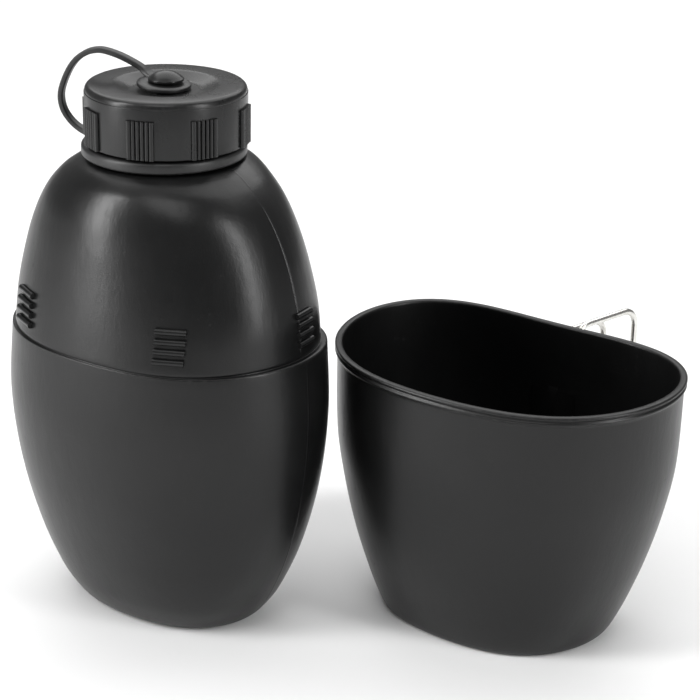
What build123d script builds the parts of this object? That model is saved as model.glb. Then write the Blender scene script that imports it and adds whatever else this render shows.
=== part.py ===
"""Canteen: a moulded bottle with a screw cap on a rubber strap, and the mug that nests on its base.

Frame: millimetres, +Z up, origin on the ground at the middle of the bottle's base. -Y is the rounded
front, +Y the flat back, +X and -X are the two ends. The mug stands beside the bottle, turned the same way.
"""
import os
from math import cos, radians, sin

from build123d import *

os.makedirs("parts", exist_ok=True)

# ---- bottle ----------------------------------------------------------------------------------
bottle_wall = 1.8
ledge_z = 113.4          # height of the step that the mug's rim comes up to
shoulder_z = 179.2       # where the shoulder ends and the round neck starts
neck_radius = 26.0
shoulder_land = 3.5      # width of the flat round the neck's foot
neck_y = 1.9             # the neck stands this far behind the middle of the base

# Sections as (share of the height, half width, front, back, flatness). Front and back are measured from
# the origin; flatness 0 is an ellipse and 1 the full rounded-D with its flat back.
land_radius = neck_radius + shoulder_land
bottle_lower_form = [
    (0.0, 37.3, 25.2, 21.5, 0.7),
    (0.037, 41.7, 28.4, 24.5, 0.75),
    (0.111, 47.4, 33.0, 28.3, 0.8),
    (0.278, 55.1, 39.6, 33.4, 0.9),
    (0.509, 61.3, 45.8, 37.0, 1.0),
    (0.758, 64.1, 48.8, 38.8, 1.0),
    (1.0, 62.7, 47.6, 38.8, 1.0),
]
bottle_upper_form = [
    (0.0, 60.7, 47.2, 36.9, 1.0),
    (0.222, 59.8, 45.2, 38.0, 0.8),
    (0.465, 56.2, 42.7, 38.6, 0.55),
    (0.647, 51.8, 40.8, 38.8, 0.35),
    (0.799, 46.0, 38.7, 38.2, 0.2),
    (0.906, 39.6, 35.4, 36.4, 0.08),
    (0.967, 34.0, 31.4, 34.4, 0.03),
    (1.0, land_radius, land_radius - neck_y, land_radius + neck_y, 0.0),
]

# ---- grip bars moulded above the ledge -------------------------------------------------------
bar_height = 2.5
bar_proud = 1.3
bar_root = 2.4           # how deep a bar is rooted in the wall's surface
bar_count = 4
bar_pitch = 3.6
bars_above_ledge = 11.2  # to the middle of each set
# Each set's place round the section, in section degrees, and the length of its bars.
bar_sets = [(-127.6, 11.2), (-52.4, 11.2), (3.0, 9.0), (177.0, 9.0), (52.4, 11.2), (127.6, 11.2)]

# ---- neck and screw thread -------------------------------------------------------------------
neck_wall = 2.6
neck_height = 21.6
thread_pitch = 5.0
thread_height = 1.4
thread_root = 2.4        # width of the ridge where it stands on the wall
thread_crest = 1.2
thread_turns = 1.5
thread_clearance = 0.3
thread_above_skirt = 3.9   # start of the neck's thread above the cap's skirt

# ---- cap -------------------------------------------------------------------------------------
cap_wall = 1.9           # plain wall between the grips
cap_roof = 3.2
cap_skirt_gap = 0.8      # from the strap's ring up to the skirt
cap_edge_round = 2.2
dish_brim = 18.5         # radii of the dish in the cap's top, at its brim and its floor
dish_floor = 13.0
dish_depth = 2.25
grip_groups = 8
grip_step = 3.2          # degrees between the ridges of one group
grip_ridges = 6
grip_radius = 0.75
grip_proud = 1.2
grip_start = 21.0        # degrees from +X to the middle of the first group
grip_top_gap = 6.6       # from the cap's top down to the ridges
liner_thickness = 1.9
liner_gap = 0.05         # seal to lip and seal to roof

# ---- strap: neck ring, band and eyelet, moulded in one -----------------------------------------
ring_clearance = 1.3     # ring's bore round the neck, all round when the ring is central
ring_width = 2.9
ring_height = 4.3
ring_lift = 0.9          # ring above the shoulder
ring_round = 1.2
ring_tab = -171.0        # degrees from +X, the side where the band leaves the ring
ring_pull = 1.0          # the band draws the ring off centre, towards its tab
band_width = 3.6
band_thickness = 2.1
band_gap = 2.2           # band's end to the eyelet's edge
band_bends = (13.0, 10.0, 10.0)   # radii, from the eyelet round to the ring
eyelet_radius = 9.85
eyelet_thickness = 1.8
eyelet_tab = 165.0       # degrees from +X, the side where the band leaves the eyelet
eyelet_pull = 1.0        # the band draws the eyelet towards -X on its stud,
eyelet_tilt = 3.5        # and lifts that side by this angle
eyelet_clearance = 0.22
stud_radius = 2.6
stud_root = 0.45         # stud's depth in the dish's floor
stud_hole_clearance = 1.3
stud_head_radius = 6.5
stud_rim = 0.7
stud_dome = 3.6

# ---- mug -------------------------------------------------------------------------------------
mug_x = 108.8
mug_y = 67.2
mug_height = 106.4
mug_wall = 2.0
mug_floor = 2.2
lip_height = 3.5
lip_proud = 0.9
mug_form = [
    (0.0, 45.5, 35.5, 28.6, 1.0),
    (0.038, 47.9, 37.4, 30.1, 1.0),
    (0.132, 52.2, 40.6, 32.8, 1.0),
    (0.301, 58.4, 45.2, 36.2, 1.0),
    (0.489, 63.5, 48.8, 39.2, 1.0),
    (0.677, 66.8, 51.0, 40.8, 1.0),
    (1.0, 67.7, 51.1, 40.4, 1.0),
]

# ---- folding wire handle ---------------------------------------------------------------------
wire_radius = 1.3
wire_fit = 0.08          # running clearance of the wire in its barrel
sheet = 1.0              # bracket sheet
hinge_x = 6.2            # each barrel from the middle of the mug's back
handle_z = 74.0          # middle height of the handle
handle_reach = 34.1      # hinge to the far leg
outer_half = 31.0        # half height of the tall loop
inner_half = 23.5        # half height of the short loop, which stands inside the tall one
near_bend = 6.5
far_bend = 7.0
outer_angle = 75.8       # degrees from +X, as the loops stand
inner_angle = 78.0
barrel_play = 0.3        # end play of a barrel between the wire's bends
wire_joint = 1.0         # gap between the wire's two ends inside the barrel
pad_outside = 41.8       # flat pad on the mug's back, measured from the mug's own axis
pad_inside = 38.0
pad_half_width = 10.0
pad_margin = 3.5         # pad beyond the tall barrel's ends
rivet_offset = 8.5       # each rivet above and below the middle
rivet_radius = 1.6
rivet_depth = 2.4        # the rivets are driven into blind holes in the pad
rivet_hole_clearance = 0.05
rivet_head_radius = 3.0
rivet_head_height = 1.3

# ---- worked out ------------------------------------------------------------------------------
bars_z = ledge_z + bars_above_ledge
neck_top = shoulder_z + neck_height
bore_radius = neck_radius - neck_wall
ring_bottom = shoulder_z + ring_lift
ring_top = ring_bottom + ring_height
ring_bore = neck_radius + ring_clearance
ring_radius = ring_bore + ring_width
skirt_bottom = ring_top + cap_skirt_gap
neck_thread_z = skirt_bottom + thread_above_skirt
roof_z = neck_top + 2 * liner_gap + liner_thickness
cap_top = roof_z + cap_roof
cap_bore = neck_radius + thread_height + thread_clearance
cap_radius = cap_bore + cap_wall
dish_z = cap_top - dish_depth
barrel_hole = wire_radius + wire_fit
barrel_radius = barrel_hole + sheet
hinge_y = pad_outside + barrel_radius
eyelet_rise = sin(radians(eyelet_tilt))   # rise of the tilted eyelet for each millimetre towards -X
eyelet_z = dish_z + eyelet_clearance + eyelet_radius * eyelet_rise + eyelet_thickness / 2
eyelet_top = eyelet_z + (stud_head_radius - eyelet_pull) * eyelet_rise + eyelet_thickness / 2
stud_head_z = eyelet_top + eyelet_clearance

# Coefficients of the rounded-D section.
END_FLAT, BACK_FLAT, CORNER = 0.0386, 0.0818, 0.0972
SECTION_POINTS = 32


def section_point(section, angle):
    """Point of a section at an angle in degrees, 0 at the +X end and -90 at the front."""
    _, half_width, front, back, flatness = section
    t = radians(angle)
    depth = (front + back) / (2 * (1 - CORNER * flatness))
    shift = (back - front) / 2 + depth * BACK_FLAT * flatness
    x = half_width * (cos(t) + END_FLAT * flatness * cos(3 * t)) / (1 + END_FLAT * flatness)
    y = depth * (sin(t) + BACK_FLAT * flatness * cos(2 * t) + CORNER * flatness * sin(3 * t)) + shift
    return x, y


def section_curve(section):
    """The section's outline as points for one closed smooth curve."""
    return [section_point(section, 360 * i / SECTION_POINTS) for i in range(SECTION_POINTS)]


def slope(sections, i, column):
    """Rate of change of one column with height at station i, from its neighbours."""
    low, high = sections[max(i - 1, 0)], sections[min(i + 1, len(sections) - 1)]
    return (high[column] - low[column]) / (high[0] - low[0])


def section_at(sections, z):
    """The section at height z, on a smooth cubic through the stations."""
    i = max(k for k in range(len(sections) - 1) if sections[k][0] <= z)
    low, high = sections[i], sections[i + 1]
    step = high[0] - low[0]
    u = (z - low[0]) / step
    values = [z]
    for column in range(1, len(low)):
        start, end = slope(sections, i, column) * step, slope(sections, i + 1, column) * step
        rise = high[column] - low[column]
        cubic = start * u + (3 * rise - 2 * start - end) * u ** 2 + (start + end - 2 * rise) * u ** 3
        values.append(low[column] + cubic)
    return tuple(values)


def smooth_sections(sections):
    """The stations and one section halfway between each two."""
    heights = [s[0] for s in sections]
    halfway = [(a + b) / 2 for a, b in zip(heights, heights[1:])]
    return [section_at(sections, z) for z in sorted(heights + halfway)]


def hollow_sections(sections, wall, floor, roof):
    """The same form drawn in by a wall, from the floor's thickness up to the roof's."""
    height = sections[-1][0]
    squeeze = (height - floor - roof) / height
    return [
        (floor + z * squeeze, half_width - wall, front - wall, back - wall, flatness)
        for z, half_width, front, back, flatness in smooth_sections(sections)]


def stations(form, low, high):
    """The sections of a form at their own heights, between a lowest and a highest one."""
    return [(low + share * (high - low), *sizes) for share, *sizes in form]


bottle_lower = stations(bottle_lower_form, 0.0, ledge_z)
bottle_upper = stations(bottle_upper_form, ledge_z, shoulder_z)
mug_sections = stations(mug_form, 0.0, mug_height)


def mug_plane(z):
    return Plane(origin=(mug_x, mug_y, z))


def neck_plane(z):
    return Plane(origin=(0, neck_y, z))


# The half plane through the neck's axis in which the turned pieces are drawn: x is the radius, y the height.
neck_profile = Plane(origin=(0, neck_y, 0), x_dir=(1, 0, 0), z_dir=(0, -1, 0))
neck_axis = Axis((0, neck_y, 0), (0, 0, 1))


def thread_path(radius, z):
    """Right-handed helix for a thread; it is called inside a BuildLine."""
    return Helix(pitch=thread_pitch, height=thread_turns * thread_pitch, radius=radius, center=(0, neck_y, z))


# ---- bottle body -----------------------------------------------------------------------------
bars_section = section_at(bottle_upper, bars_z)
with BuildPart() as bottle_body:
    for sections in (bottle_lower, bottle_upper):
        for section in smooth_sections(sections):
            with BuildSketch(Plane.XY.offset(section[0])):
                with BuildLine():
                    Spline(*section_curve(section), periodic=True)
                make_face()
        loft()
    for place, bar_length in bar_sets:
        ahead = Vector(*section_point(bars_section, place + 1))
        behind = Vector(*section_point(bars_section, place - 1))
        middle = Vector(*section_point(bars_section, place))
        along = (ahead - behind).normalized()
        outward = Vector(along.Y, -along.X)
        for row in range(bar_count):
            z = bars_z + (row - (bar_count - 1) / 2) * bar_pitch
            wall_point = section_point(section_at(bottle_upper, z), place)
            lean = (Vector(*wall_point) - middle).dot(outward)
            bar_middle = middle + outward * (lean + (bar_proud - bar_root) / 2)
            with BuildSketch(Plane(origin=(bar_middle.X, bar_middle.Y, z - bar_height / 2), x_dir=along)):
                Rectangle(bar_length, bar_proud + bar_root)
            extrude(amount=bar_height)
    with BuildSketch(neck_plane(shoulder_z - bottle_wall)):
        Circle(neck_radius)
    extrude(amount=neck_top - shoulder_z + bottle_wall)
    with BuildLine():
        neck_helix = thread_path(neck_radius, neck_thread_z)
    with BuildSketch(Plane(origin=neck_helix @ 0, x_dir=(1, 0, 0), z_dir=neck_helix % 0)):
        with BuildLine():
            Polyline(
                (-0.4, -thread_root / 2), (thread_height, -thread_crest / 2),
                (thread_height, thread_crest / 2), (-0.4, thread_root / 2), close=True)
        make_face()
    sweep(path=neck_helix, is_frenet=True)
    for section in hollow_sections(bottle_lower[:-1] + bottle_upper, bottle_wall, bottle_wall, bottle_wall):
        with BuildSketch(Plane.XY.offset(section[0])):
            with BuildLine():
                Spline(*section_curve(section), periodic=True)
            make_face()
    loft(mode=Mode.SUBTRACT)
    with BuildSketch(neck_plane(shoulder_z - 4 * bottle_wall)):
        Circle(bore_radius)
    extrude(amount=neck_top - shoulder_z + 4 * bottle_wall, mode=Mode.SUBTRACT)
bottle_body.part.label = "bottle_body"
export_step(bottle_body.part, "parts/bottle_body.step")

# ---- strap -----------------------------------------------------------------------------------
tab_way = Vector(cos(radians(ring_tab)), sin(radians(ring_tab)))
ring_middle = Vector(0, neck_y) + tab_way * ring_pull
with BuildPart() as strap_neck_ring:
    with BuildSketch(Plane(origin=(ring_middle.X, ring_middle.Y, ring_bottom))):
        Circle(ring_radius)
        Circle(ring_bore, mode=Mode.SUBTRACT)
    extrude(amount=ring_height)
    outside_edges = strap_neck_ring.edges().filter_by(GeomType.CIRCLE).sort_by(lambda e: e.radius)[-2:]
    fillet(outside_edges, radius=ring_round)
strap_neck_ring.part.label = "strap_neck_ring"
export_step(strap_neck_ring.part, "parts/strap_neck_ring.step")

# The band stands in the upright plane through its two tabs: x from the eyelet's edge outwards, y the height.
eyelet_middle = Vector(-eyelet_pull, neck_y)
eyelet_edge = eyelet_middle + Vector(cos(radians(eyelet_tab)), sin(radians(eyelet_tab))) * eyelet_radius
ring_edge = ring_middle + tab_way * ring_radius
band_way = (ring_edge - eyelet_edge).normalized()
span = (ring_edge - eyelet_edge).length
band_plane = Plane(
    origin=(eyelet_edge.X, eyelet_edge.Y, 0), x_dir=(band_way.X, band_way.Y, 0),
    z_dir=(band_way.Y, -band_way.X, 0))
ring_z = (ring_bottom + ring_top) / 2
with BuildPart() as strap_band:
    with BuildLine(band_plane) as band_path:
        FilletPolyline(
            (band_gap, eyelet_z + 0.8), (span + 0.5, eyelet_z + 12.2), (span + 13.1, ring_z + 13.5),
            (span + 3.9, ring_z + 1.6), (span - 1, ring_z), radius=band_bends)
    with BuildSketch(Plane(origin=band_path.line @ 0, x_dir=band_plane.z_dir, z_dir=band_path.line % 0)):
        Rectangle(band_width, band_thickness)
    sweep(path=band_path.line)
strap_band.part.label = "strap_band"
export_step(strap_band.part, "parts/strap_band.step")

eyelet_up = (eyelet_rise, 0, cos(radians(eyelet_tilt)))
eyelet_plane = Plane(origin=(eyelet_middle.X, eyelet_middle.Y, eyelet_z), x_dir=(0, 1, 0), z_dir=eyelet_up)
with BuildPart() as strap_eyelet:
    with BuildSketch(eyelet_plane):
        Circle(eyelet_radius)
        Circle(stud_radius + stud_hole_clearance, mode=Mode.SUBTRACT)
    extrude(amount=eyelet_thickness / 2, both=True)
    outside_edges = strap_eyelet.edges().filter_by(GeomType.CIRCLE).sort_by(lambda e: e.radius)[-2:]
    fillet(outside_edges, radius=eyelet_thickness * 0.35)
strap_eyelet.part.label = "strap_eyelet"
export_step(strap_eyelet.part, "parts/strap_eyelet.step")

# ---- cap -------------------------------------------------------------------------------------
stud_seat = dish_z - stud_root
with BuildPart() as cap_shell:
    with BuildSketch(neck_plane(skirt_bottom)):
        Circle(cap_radius)
    extrude(amount=cap_top - skirt_bottom)
    fillet(cap_shell.edges().group_by(Axis.Z)[-1], radius=cap_edge_round)
    for group in range(grip_groups):
        for ridge in range(grip_ridges):
            angle = grip_start + 360 * group / grip_groups + (ridge - (grip_ridges - 1) / 2) * grip_step
            with BuildSketch(neck_plane(skirt_bottom)):
                with PolarLocations(cap_radius + grip_proud - grip_radius, 1, start_angle=angle):
                    Circle(grip_radius)
            extrude(amount=cap_top - grip_top_gap - skirt_bottom)
    with BuildSketch(neck_plane(dish_z)):
        Circle(dish_floor)
    with BuildSketch(neck_plane(cap_top)):
        Circle(dish_brim)
    loft(mode=Mode.SUBTRACT)
    with BuildSketch(neck_plane(skirt_bottom)):
        Circle(cap_bore)
    extrude(amount=roof_z - skirt_bottom, mode=Mode.SUBTRACT)
    with BuildLine():
        cap_helix = thread_path(cap_bore, neck_thread_z - thread_pitch / 2)
    with BuildSketch(Plane(origin=cap_helix @ 0, x_dir=(1, 0, 0), z_dir=cap_helix % 0)):
        with BuildLine():
            Polyline(
                (0.4, -thread_root / 2), (-thread_height, -thread_crest / 2),
                (-thread_height, thread_crest / 2), (0.4, thread_root / 2), close=True)
        make_face()
    sweep(path=cap_helix, is_frenet=True)
    with BuildSketch(neck_plane(stud_seat)):
        Circle(stud_radius)
    extrude(amount=cap_top - stud_seat, mode=Mode.SUBTRACT)
cap_shell.part.label = "cap_shell"
export_step(cap_shell.part, "parts/cap_shell.step")

with BuildPart() as cap_stud:
    with BuildSketch(neck_profile):
        with BuildLine():
            dome_start = (stud_head_radius, stud_head_z + stud_rim)
            dome_end = (0, stud_head_z + stud_dome)
            Polyline(
                (0, stud_seat), (stud_radius, stud_seat), (stud_radius, stud_head_z),
                (stud_head_radius, stud_head_z), dome_start)
            TangentArc(dome_end, dome_start, tangent=(1, 0))
            Line(dome_end, (0, stud_seat))
        make_face()
    revolve(axis=neck_axis)
cap_stud.part.label = "cap_stud"
export_step(cap_stud.part, "parts/cap_stud.step")

with BuildPart() as cap_liner:
    with BuildSketch(neck_plane(neck_top + liner_gap)):
        Circle(neck_radius)
    extrude(amount=liner_thickness)
cap_liner.part.label = "cap_liner"
export_step(cap_liner.part, "parts/cap_liner.step")

# ---- mug -------------------------------------------------------------------------------------
barrel_half_tall = outer_half - near_bend - barrel_play
barrel_half_short = inner_half - near_bend - barrel_play
pad_half = barrel_half_tall + pad_margin
mug_inside = hollow_sections(mug_sections, mug_wall, mug_floor, 0)
_, rim_half_width, rim_front, rim_back, rim_flatness = mug_sections[-1]
lip_section = (
    mug_height - lip_height, rim_half_width + lip_proud, rim_front + lip_proud, rim_back + lip_proud, rim_flatness)
rivet_heights = (handle_z - rivet_offset, handle_z + rivet_offset)


def back_plane(depth, z):
    """A plane facing backwards (+Y) at a depth from the mug's axis, its x along +X."""
    return Plane(origin=(mug_x, mug_y + depth, z), x_dir=(1, 0, 0), z_dir=(0, 1, 0))


with BuildPart() as mug_body:
    for section in smooth_sections(mug_sections):
        with BuildSketch(mug_plane(section[0])):
            with BuildLine():
                Spline(*section_curve(section), periodic=True)
            make_face()
    loft()
    with BuildSketch(mug_plane(lip_section[0])):
        with BuildLine():
            Spline(*section_curve(lip_section), periodic=True)
        make_face()
    extrude(amount=lip_height)
    with BuildSketch(back_plane(pad_inside, handle_z)):
        RectangleRounded(2 * pad_half_width, 2 * pad_half, 3)
    extrude(amount=pad_outside - pad_inside)
    for section in mug_inside:
        with BuildSketch(mug_plane(section[0])):
            with BuildLine():
                Spline(*section_curve(section), periodic=True)
            make_face()
    loft(mode=Mode.SUBTRACT)
    for z in rivet_heights:
        with BuildSketch(back_plane(pad_outside, z)):
            Circle(rivet_radius + rivet_hole_clearance)
        extrude(amount=-rivet_depth - rivet_hole_clearance, mode=Mode.SUBTRACT)
mug_body.part.label = "mug_body"
export_step(mug_body.part, "parts/mug_body.step")

# ---- handle bracket and its rivets --------------------------------------------------------------
barrels = ((hinge_x, barrel_half_tall), (-hinge_x, barrel_half_short))
with BuildPart() as handle_bracket:
    with BuildSketch(back_plane(pad_outside, handle_z)):
        Rectangle(2 * hinge_x, 2 * barrel_half_short)
    extrude(amount=sheet)
    for x, half in barrels:
        with BuildSketch(Plane(origin=(mug_x + x, mug_y + hinge_y, handle_z - half))):
            Circle(barrel_radius)
        extrude(amount=2 * half)
    for x, half in barrels:
        with BuildSketch(Plane(origin=(mug_x + x, mug_y + hinge_y, handle_z - half))):
            Circle(barrel_hole)
        extrude(amount=2 * half, mode=Mode.SUBTRACT)
    for z in rivet_heights:
        with BuildSketch(back_plane(pad_outside, z)):
            Circle(rivet_radius + rivet_hole_clearance)
        extrude(amount=sheet, mode=Mode.SUBTRACT)
handle_bracket.part.label = "handle_bracket"
export_step(handle_bracket.part, "parts/handle_bracket.step")

head_seat = pad_outside + sheet
with BuildPart() as handle_rivets:
    for z in rivet_heights:
        with BuildSketch(back_plane(head_seat, z)):
            Circle(rivet_radius)
        extrude(amount=-sheet - rivet_depth)
        with BuildSketch(back_plane(head_seat, z)):
            Circle(rivet_head_radius)
        extrude(amount=rivet_head_height, taper=20)
handle_rivets.part.label = "handle_rivets"
export_step(handle_rivets.part, "parts/handle_rivets.step")


# ---- wire loops ------------------------------------------------------------------------------
def wire_loop_plane(x, angle):
    """The upright plane that a loop lies in: x from its hinge outwards, y up, origin at its middle height."""
    out = (cos(radians(angle)), sin(radians(angle)), 0)
    return Plane(origin=(mug_x + x, mug_y + hinge_y, handle_z), x_dir=out, z_dir=(out[1], -out[0], 0))


loops = {
    "handle_loop_outer": (hinge_x, outer_angle, outer_half),
    "handle_loop_inner": (-hinge_x, inner_angle, inner_half),
}
for name, (x, angle, half) in loops.items():
    with BuildPart() as loop:
        with BuildLine(wire_loop_plane(x, angle)) as wire:
            FilletPolyline(
                (0, wire_joint / 2), (0, half), (handle_reach, half),
                (handle_reach, -half), (0, -half), (0, -wire_joint / 2),
                radius=(near_bend, far_bend, far_bend, near_bend))
        with BuildSketch(Plane(origin=wire.line @ 0, z_dir=wire.line % 0)):
            Circle(wire_radius)
        sweep(path=wire.line)
    loop.part.label = name
    export_step(loop.part, f"parts/{name}.step")
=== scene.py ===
"""Looks of the moulded black canteen: bottle, screw cap on its rubber strap, and mug with wire handles.

Metres, +Z up, in the CAD frame. Tables of sections are in millimetres, as on a mould drawing, and stations()
makes them metres.
"""
from math import cos, pi, radians, sin, tau

import bpy
import numpy as np
from mathutils import Euler, Matrix, Vector


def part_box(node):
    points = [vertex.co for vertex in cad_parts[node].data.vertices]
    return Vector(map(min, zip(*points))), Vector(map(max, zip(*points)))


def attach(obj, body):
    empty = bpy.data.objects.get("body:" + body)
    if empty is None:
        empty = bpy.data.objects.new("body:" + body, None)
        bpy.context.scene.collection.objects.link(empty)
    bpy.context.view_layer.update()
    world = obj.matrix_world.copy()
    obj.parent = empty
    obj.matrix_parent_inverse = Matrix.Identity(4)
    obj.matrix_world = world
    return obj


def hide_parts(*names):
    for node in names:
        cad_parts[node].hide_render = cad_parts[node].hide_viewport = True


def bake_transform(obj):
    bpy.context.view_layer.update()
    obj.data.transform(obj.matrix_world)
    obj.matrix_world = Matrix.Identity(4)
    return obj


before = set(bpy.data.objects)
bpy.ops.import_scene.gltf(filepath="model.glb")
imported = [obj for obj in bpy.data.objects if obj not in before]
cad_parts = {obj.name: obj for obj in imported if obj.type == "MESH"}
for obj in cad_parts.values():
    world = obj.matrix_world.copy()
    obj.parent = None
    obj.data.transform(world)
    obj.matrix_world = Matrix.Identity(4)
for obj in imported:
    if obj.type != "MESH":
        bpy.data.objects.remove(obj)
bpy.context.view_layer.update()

MM = 0.001
scene = bpy.context.scene


# ---- node trees ------------------------------------------------------------------------------
class Value:
    """An output socket of a node tree. Arithmetic on it adds Math nodes."""

    def __init__(self, nodes, socket):
        self.nodes = nodes
        self.socket = socket

    def math(self, operation, *terms):
        return self.nodes.node("ShaderNodeMath", {"operation": operation}, dict(enumerate(terms)))

    def __add__(self, other):
        return self.math("ADD", self, other)

    def __sub__(self, other):
        return self.math("SUBTRACT", self, other)

    def __rsub__(self, other):
        return self.math("SUBTRACT", other, self)

    def __mul__(self, other):
        return self.math("MULTIPLY", self, other)

    def __truediv__(self, other):
        return self.math("DIVIDE", self, other)

    def __pow__(self, other):
        return self.math("POWER", self, other)

    __radd__ = __add__
    __rmul__ = __mul__

    def at_least(self, low):
        return self.math("MAXIMUM", self, low)

    def at_most(self, high):
        return self.math("MINIMUM", self, high)

    def step(self, low, high):
        """0 below low and 1 above high, smooth between."""
        limits = {"Value": self, "From Min": low, "From Max": high}
        return self.nodes.node("ShaderNodeMapRange", {"interpolation_type": "SMOOTHSTEP"}, limits)

    def out(self, name):
        """Another output of the same node."""
        return Value(self.nodes, self.socket.node.outputs[name])


class Nodes:
    """A node tree that is filled one call at a time."""

    def __init__(self, tree):
        self.tree = tree

    def node(self, kind, settings=None, values=None, output=0):
        made = self.tree.nodes.new(kind)
        for name, setting in (settings or {}).items():
            setattr(made, name, setting)
        for name, value in (values or {}).items():
            if isinstance(value, Value):
                self.tree.links.new(value.socket, made.inputs[name])
            else:
                made.inputs[name].default_value = value
        return Value(self, made.outputs[output])


class Finish(Nodes):
    """A material of one of the canteen's finishes."""

    def __init__(self, name):
        self.material = bpy.data.materials.new(name)
        self.material.use_nodes = True
        super().__init__(self.material.node_tree)
        self.tree.nodes.clear()
        self.place = self.node("ShaderNodeTexCoord", output="Object")

    def noise(self, size, detail=2.0, stretch=(1, 1, 1), shift=0.0):
        """Soft blobs from 0 to 1, about size metres across, drawn out along the axes by stretch."""
        scale = [1 / s for s in stretch]
        where = self.node("ShaderNodeMapping", None, {
            "Vector": self.place, "Scale": scale, "Location": (shift, shift, shift)})
        return self.node("ShaderNodeTexNoise", None, {
            "Vector": where, "Scale": 1 / size, "Detail": detail, "Roughness": 0.55})

    def blend(self, factor, low, high):
        """A colour between two, by a factor from 0 to 1."""
        return self.node("ShaderNodeMix", {"data_type": "RGBA"}, {0: factor, 6: low, 7: high}, 2)

    def worn(self):
        """How worn the edges are, painted on the mesh as an attribute."""
        return self.node("ShaderNodeAttribute", {"attribute_name": "worn"}, output="Fac")

    def bump(self, height, depth, under=None):
        """A normal from a height of 0 to 1 over a depth in metres, on top of another bump."""
        values = {"Strength": 1.0, "Distance": depth, "Height": height}
        if under:
            values["Normal"] = under
        return self.node("ShaderNodeBump", None, values)

    def done(self, **values):
        named = {name.replace("_", " "): value for name, value in values.items()}
        shader = self.node("ShaderNodeBsdfPrincipled", None, named)
        self.node_output(shader)
        return self.material

    def node_output(self, shader):
        end = self.tree.nodes.new("ShaderNodeOutputMaterial")
        self.tree.links.new(shader.socket, end.inputs["Surface"])


def grey(level, warm=0.0):
    """A colour of one lightness, a little warm or cold."""
    return (level * (1 + warm), level, level * (1 - warm), 1)


def moulded_plastic(name, shade, gloss, peel):
    """Black moulded polyethylene: satin, with fine peel, faint flow marks, rubbed edges and a few scuffs."""
    finish = Finish(name)
    broad = finish.noise(38 * MM, 3)
    grain = finish.noise(0.55 * MM, 2)
    flow = finish.noise(5 * MM, 3, stretch=(1, 1, 2.6))
    scuffs = finish.noise(2.2 * MM, 4, stretch=(1, 9, 1.4), shift=3.1).step(0.66, 0.74)
    scratches = finish.noise(1.1 * MM, 1, stretch=(14, 1, 2.2), shift=7.7).step(0.71, 0.76)
    rubbed = (finish.worn() * finish.noise(1.6 * MM, 3).step(0.35, 0.75)).at_most(1)
    body = finish.blend(broad.step(0.3, 0.7), grey(shade * 0.82, -0.03), grey(shade * 1.18, -0.01))
    marked = finish.blend((scuffs * 0.35 + scratches * 0.3) * broad, body, grey(shade * 3.2))
    colour = finish.blend(rubbed * 0.8, marked, grey(shade * 3.6, 0.01))
    rough = gloss + 0.1 * (broad - 0.5) + 0.07 * (flow - 0.5) + 0.12 * scuffs + 0.14 * rubbed
    waves = finish.bump(flow, 0.10 * MM * peel)
    skin_grain = finish.bump(grain, 0.022 * MM * peel, waves)
    return finish.done(
        Base_Color=colour, Roughness=rough, Normal=skin_grain, IOR=1.5, Specular_IOR_Level=0.36)


def strap_rubber():
    """Satin black rubber with a dusty bloom in patches."""
    finish = Finish("strap_rubber")
    bloom = finish.noise(6 * MM, 4)
    grain = finish.noise(0.35 * MM, 2)
    colour = finish.blend(bloom.step(0.4, 0.8), grey(0.011, -0.02), grey(0.021))
    rough = 0.42 + 0.16 * (bloom - 0.5)
    return finish.done(Base_Color=colour, Roughness=rough, Normal=finish.bump(grain, 0.02 * MM), IOR=1.5)


def seal_rubber():
    """Pale grey sealing disc with faint grain and a darker handled bloom."""
    finish = Finish("seal_rubber")
    bloom = finish.noise(9 * MM, 4)
    colour = finish.blend(bloom, (0.42, 0.41, 0.37, 1), (0.3, 0.29, 0.26, 1))
    return finish.done(Base_Color=colour, Roughness=0.55 + 0.15 * bloom, IOR=1.48,
                       Normal=finish.bump(finish.noise(0.5 * MM, 2), 0.02 * MM))


def drawn_steel():
    """Bright drawn wire: fine die lines, slight tarnish and small nicks."""
    finish = Finish("drawn_steel")
    lines = finish.noise(0.16 * MM, 2, stretch=(1, 1, 30))
    tarnish = finish.noise(4 * MM, 4)
    nicks = finish.noise(0.9 * MM, 3, shift=2.0).step(0.68, 0.76)
    colour = finish.blend(tarnish.step(0.35, 0.85), (0.80, 0.79, 0.76, 1), (0.62, 0.60, 0.56, 1))
    rough = 0.16 + 0.10 * tarnish + 0.08 * lines + 0.2 * nicks
    return finish.done(Base_Color=colour, Metallic=1.0, Roughness=rough,
                       Normal=finish.bump(lines + nicks * -0.6, 0.012 * MM))


def sheet_steel():
    """Stamped plated sheet: brushed upwards, duller than the wire, with darker spots here and there."""
    finish = Finish("sheet_steel")
    brushed = finish.noise(0.2 * MM, 2, stretch=(1, 1, 26))
    spots = finish.noise(2.4 * MM, 4)
    colour = finish.blend(spots.step(0.3, 0.8), (0.66, 0.65, 0.62, 1), (0.47, 0.46, 0.43, 1))
    rough = 0.27 + 0.12 * spots + 0.1 * brushed
    return finish.done(Base_Color=colour, Metallic=1.0, Roughness=rough,
                       Normal=finish.bump(brushed, 0.016 * MM))


bottle_plastic = moulded_plastic("bottle_plastic", 0.005, 0.31, 1.0)
mug_plastic = moulded_plastic("mug_plastic", 0.005, 0.33, 1.0)
cap_plastic = moulded_plastic("cap_plastic", 0.008, 0.28, 0.6)
rubber = strap_rubber()
seal = seal_rubber()
wire_steel = drawn_steel()
bracket_steel = sheet_steel()


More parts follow.
